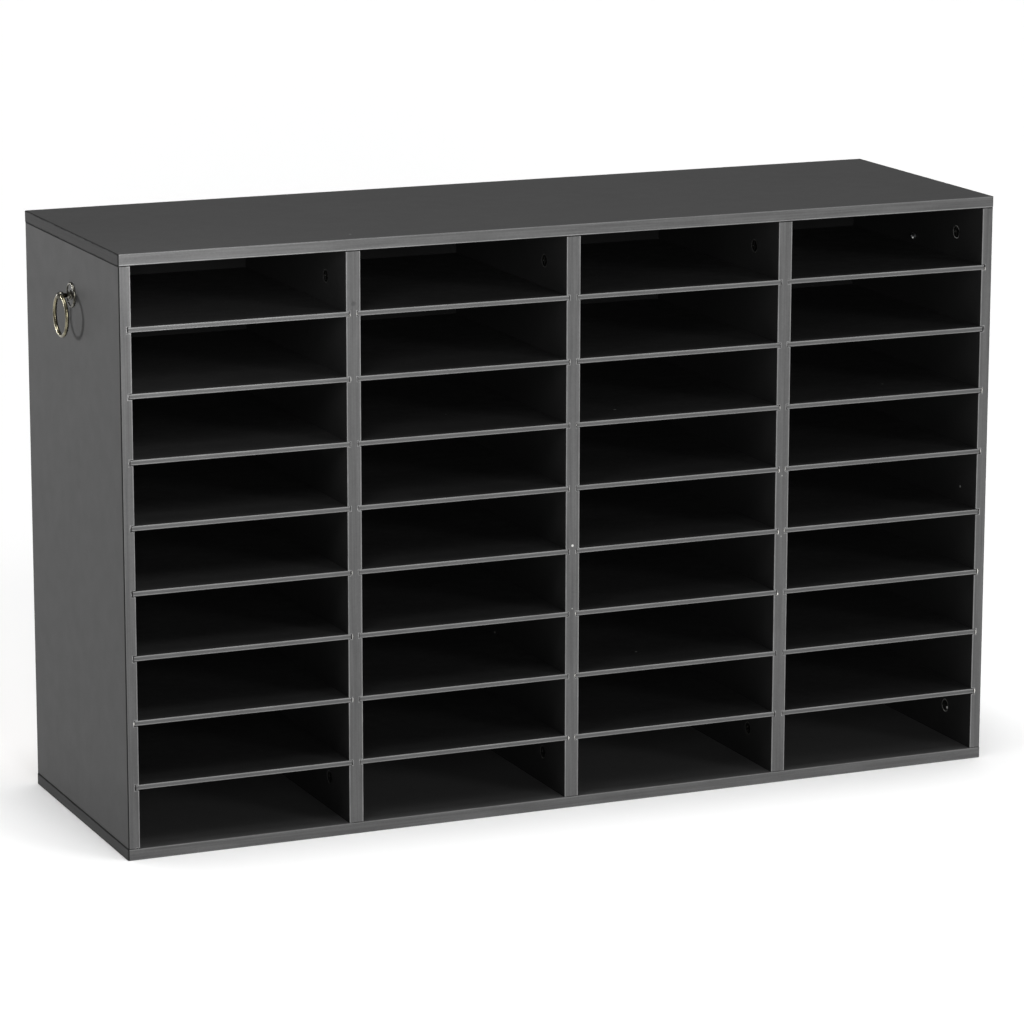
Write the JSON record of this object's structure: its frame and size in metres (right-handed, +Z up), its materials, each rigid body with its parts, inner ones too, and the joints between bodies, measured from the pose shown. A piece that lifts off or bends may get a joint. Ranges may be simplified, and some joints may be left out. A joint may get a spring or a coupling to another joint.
{
  "type": "pigeonhole mail sorter",
  "caption": "Low black cabinet of flat pigeonholes for sorting mail and papers, with loose shelves that slide out of grooved uprights and a ring handle at each end.",
  "frame": {"origin": "middle of the cabinet's footprint on the floor", "axes": "+X to the right seen from the open front, +Y to the back, +Z up; the open front faces -Y"},
  "size_m": [1.0308, 0.312, 0.6328],
  "materials": {
    "black_board": "matt black laminate on particle board",
    "black_edging": "matt black edging",
    "shelf_board": "matt black laminated thin board",
    "back_board": "black faced hardboard",
    "beech": "bare beech",
    "cam_zinc": "dull die-cast zinc",
    "plated_steel": "zinc plated steel",
    "antique_brass": "antique brass with worn highlights"
  },
  "bodies": {
    "cabinet": {"top_panel": "black_board", "bottom_panel": "black_board", "left_side_panel": "black_board", "right_side_panel": "black_board", "divider_1": "black_board", "divider_2": "black_board", "divider_3": "black_board", "top_edge_band": "black_edging", "bottom_edge_band": "black_edging", "left_side_edge_band": "black_edging", "divider_1_edge_band": "black_edging", "divider_2_edge_band": "black_edging", "divider_3_edge_band": "black_edging", "right_side_edge_band": "black_edging", "back_panel": "back_board", "side_cam_locks": "cam_zinc", "divider_cam_locks": "cam_zinc", "cam_bolts": "plated_steel", "back_panel_screws": "plated_steel", "dowels": "beech", "left_handle_rosette": "antique_brass", "left_handle_post": "antique_brass", "left_handle_screw": "plated_steel", "right_handle_rosette": "antique_brass", "right_handle_post": "antique_brass", "right_handle_screw": "plated_steel"},
    "left_ring": {"left_handle_ring": "antique_brass"},
    "right_ring": {"right_handle_ring": "antique_brass"},
    "shelf_col1_row1": {"shelf_col1_row1": "shelf_board"},
    "shelf_col1_row2": {"shelf_col1_row2": "shelf_board"},
    "shelf_col1_row3": {"shelf_col1_row3": "shelf_board"},
    "shelf_col1_row4": {"shelf_col1_row4": "shelf_board"},
    "shelf_col1_row5": {"shelf_col1_row5": "shelf_board"},
    "shelf_col1_row6": {"shelf_col1_row6": "shelf_board"},
    "shelf_col1_row7": {"shelf_col1_row7": "shelf_board"},
    "shelf_col1_row8": {"shelf_col1_row8": "shelf_board"},
    "shelf_col2_row1": {"shelf_col2_row1": "shelf_board"},
    "shelf_col2_row2": {"shelf_col2_row2": "shelf_board"},
    "shelf_col2_row3": {"shelf_col2_row3": "shelf_board"},
    "shelf_col2_row4": {"shelf_col2_row4": "shelf_board"},
    "shelf_col2_row5": {"shelf_col2_row5": "shelf_board"},
    "shelf_col2_row6": {"shelf_col2_row6": "shelf_board"},
    "shelf_col2_row7": {"shelf_col2_row7": "shelf_board"},
    "shelf_col2_row8": {"shelf_col2_row8": "shelf_board"},
    "shelf_col3_row1": {"shelf_col3_row1": "shelf_board"},
    "shelf_col3_row2": {"shelf_col3_row2": "shelf_board"},
    "shelf_col3_row3": {"shelf_col3_row3": "shelf_board"},
    "shelf_col3_row4": {"shelf_col3_row4": "shelf_board"},
    "shelf_col3_row5": {"shelf_col3_row5": "shelf_board"},
    "shelf_col3_row6": {"shelf_col3_row6": "shelf_board"},
    "shelf_col3_row7": {"shelf_col3_row7": "shelf_board"},
    "shelf_col3_row8": {"shelf_col3_row8": "shelf_board"},
    "shelf_col4_row1": {"shelf_col4_row1": "shelf_board"},
    "shelf_col4_row2": {"shelf_col4_row2": "shelf_board"},
    "shelf_col4_row3": {"shelf_col4_row3": "shelf_board"},
    "shelf_col4_row4": {"shelf_col4_row4": "shelf_board"},
    "shelf_col4_row5": {"shelf_col4_row5": "shelf_board"},
    "shelf_col4_row6": {"shelf_col4_row6": "shelf_board"},
    "shelf_col4_row7": {"shelf_col4_row7": "shelf_board"},
    "shelf_col4_row8": {"shelf_col4_row8": "shelf_board"}
  },
  "joints": [
    {"name": "left_ring_swing", "type": "hinge", "parent": "cabinet", "child": "left_ring", "pos_m": [-0.5111, 0, 0.5668], "axis": [0, 1, 0], "range_deg": [-13, 193]},
    {"name": "right_ring_swing", "type": "hinge", "parent": "cabinet", "child": "right_ring", "pos_m": [0.5111, 0, 0.5668], "axis": [0, -1, 0], "range_deg": [-13, 193]},
    {"name": "shelf_col1_row1_slide", "type": "slide", "parent": "cabinet", "child": "shelf_col1_row1", "axis": [0, -1, 0], "range_m": [0, 0.285]},
    {"name": "shelf_col1_row2_slide", "type": "slide", "parent": "cabinet", "child": "shelf_col1_row2", "axis": [0, -1, 0], "range_m": [0, 0.285]},
    {"name": "shelf_col1_row3_slide", "type": "slide", "parent": "cabinet", "child": "shelf_col1_row3", "axis": [0, -1, 0], "range_m": [0, 0.285]},
    {"name": "shelf_col1_row4_slide", "type": "slide", "parent": "cabinet", "child": "shelf_col1_row4", "axis": [0, -1, 0], "range_m": [0, 0.285]},
    {"name": "shelf_col1_row5_slide", "type": "slide", "parent": "cabinet", "child": "shelf_col1_row5", "axis": [0, -1, 0], "range_m": [0, 0.285]},
    {"name": "shelf_col1_row6_slide", "type": "slide", "parent": "cabinet", "child": "shelf_col1_row6", "axis": [0, -1, 0], "range_m": [0, 0.285]},
    {"name": "shelf_col1_row7_slide", "type": "slide", "parent": "cabinet", "child": "shelf_col1_row7", "axis": [0, -1, 0], "range_m": [0, 0.285]},
    {"name": "shelf_col1_row8_slide", "type": "slide", "parent": "cabinet", "child": "shelf_col1_row8", "axis": [0, -1, 0], "range_m": [0, 0.285]},
    {"name": "shelf_col2_row1_slide", "type": "slide", "parent": "cabinet", "child": "shelf_col2_row1", "axis": [0, -1, 0], "range_m": [0, 0.285]},
    {"name": "shelf_col2_row2_slide", "type": "slide", "parent": "cabinet", "child": "shelf_col2_row2", "axis": [0, -1, 0], "range_m": [0, 0.285]},
    {"name": "shelf_col2_row3_slide", "type": "slide", "parent": "cabinet", "child": "shelf_col2_row3", "axis": [0, -1, 0], "range_m": [0, 0.285]},
    {"name": "shelf_col2_row4_slide", "type": "slide", "parent": "cabinet", "child": "shelf_col2_row4", "axis": [0, -1, 0], "range_m": [0, 0.285]},
    {"name": "shelf_col2_row5_slide", "type": "slide", "parent": "cabinet", "child": "shelf_col2_row5", "axis": [0, -1, 0], "range_m": [0, 0.285]},
    {"name": "shelf_col2_row6_slide", "type": "slide", "parent": "cabinet", "child": "shelf_col2_row6", "axis": [0, -1, 0], "range_m": [0, 0.285]},
    {"name": "shelf_col2_row7_slide", "type": "slide", "parent": "cabinet", "child": "shelf_col2_row7", "axis": [0, -1, 0], "range_m": [0, 0.285]},
    {"name": "shelf_col2_row8_slide", "type": "slide", "parent": "cabinet", "child": "shelf_col2_row8", "axis": [0, -1, 0], "range_m": [0, 0.285]},
    {"name": "shelf_col3_row1_slide", "type": "slide", "parent": "cabinet", "child": "shelf_col3_row1", "axis": [0, -1, 0], "range_m": [0, 0.285]},
    {"name": "shelf_col3_row2_slide", "type": "slide", "parent": "cabinet", "child": "shelf_col3_row2", "axis": [0, -1, 0], "range_m": [0, 0.285]},
    {"name": "shelf_col3_row3_slide", "type": "slide", "parent": "cabinet", "child": "shelf_col3_row3", "axis": [0, -1, 0], "range_m": [0, 0.285]},
    {"name": "shelf_col3_row4_slide", "type": "slide", "parent": "cabinet", "child": "shelf_col3_row4", "axis": [0, -1, 0], "range_m": [0, 0.285]},
    {"name": "shelf_col3_row5_slide", "type": "slide", "parent": "cabinet", "child": "shelf_col3_row5", "axis": [0, -1, 0], "range_m": [0, 0.285]},
    {"name": "shelf_col3_row6_slide", "type": "slide", "parent": "cabinet", "child": "shelf_col3_row6", "axis": [0, -1, 0], "range_m": [0, 0.285]},
    {"name": "shelf_col3_row7_slide", "type": "slide", "parent": "cabinet", "child": "shelf_col3_row7", "axis": [0, -1, 0], "range_m": [0, 0.285]},
    {"name": "shelf_col3_row8_slide", "type": "slide", "parent": "cabinet", "child": "shelf_col3_row8", "axis": [0, -1, 0], "range_m": [0, 0.285]},
    {"name": "shelf_col4_row1_slide", "type": "slide", "parent": "cabinet", "child": "shelf_col4_row1", "axis": [0, -1, 0], "range_m": [0, 0.285]},
    {"name": "shelf_col4_row2_slide", "type": "slide", "parent": "cabinet", "child": "shelf_col4_row2", "axis": [0, -1, 0], "range_m": [0, 0.285]},
    {"name": "shelf_col4_row3_slide", "type": "slide", "parent": "cabinet", "child": "shelf_col4_row3", "axis": [0, -1, 0], "range_m": [0, 0.285]},
    {"name": "shelf_col4_row4_slide", "type": "slide", "parent": "cabinet", "child": "shelf_col4_row4", "axis": [0, -1, 0], "range_m": [0, 0.285]},
    {"name": "shelf_col4_row5_slide", "type": "slide", "parent": "cabinet", "child": "shelf_col4_row5", "axis": [0, -1, 0], "range_m": [0, 0.285]},
    {"name": "shelf_col4_row6_slide", "type": "slide", "parent": "cabinet", "child": "shelf_col4_row6", "axis": [0, -1, 0], "range_m": [0, 0.285]},
    {"name": "shelf_col4_row7_slide", "type": "slide", "parent": "cabinet", "child": "shelf_col4_row7", "axis": [0, -1, 0], "range_m": [0, 0.285]},
    {"name": "shelf_col4_row8_slide", "type": "slide", "parent": "cabinet", "child": "shelf_col4_row8", "axis": [0, -1, 0], "range_m": [0, 0.285]}
  ]
}
